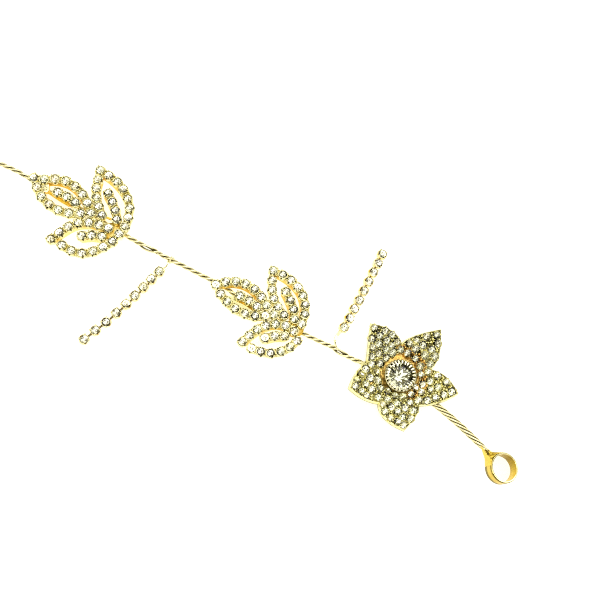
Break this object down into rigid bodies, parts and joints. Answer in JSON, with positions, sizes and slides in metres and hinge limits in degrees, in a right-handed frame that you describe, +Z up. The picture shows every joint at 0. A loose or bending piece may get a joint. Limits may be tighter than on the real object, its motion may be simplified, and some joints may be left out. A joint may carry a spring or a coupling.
{
  "type": "tiara",
  "caption": "Slim hair-vine tiara: twisted gold wire with rhinestone leaf sprays, short stone side chains and a paved five-petal flower, a ring loop at each end.",
  "frame": {"origin": "on the resting plane, under the middle of the whole piece's box", "axes": "+X along the stem towards the ring loop past the flower, +Z up, out of the surface it lies on, +Y to the side of the stem that side_chain_2 points to"},
  "size_m": [0.1816, 0.0645, 0.0071],
  "materials": {
    "wire_gold": "polished yellow gold plate, twisted wire",
    "cup_gold": "polished yellow gold plate",
    "ring_gold": "satin yellow gold plate",
    "crystal": "clear faceted foil-backed crystal"
  },
  "bodies": {
    "root": {"stem_main": "wire_gold", "stem_end": "wire_gold", "leaf_spray_1": "cup_gold", "leaf_spray_2": "cup_gold", "side_chain_1": "cup_gold", "side_chain_2": "cup_gold", "flower_plate": "cup_gold", "center_cup": "cup_gold", "center_stone": "crystal", "loop_right": "ring_gold", "loop_left": "ring_gold"}
  },
  "joints": []
}
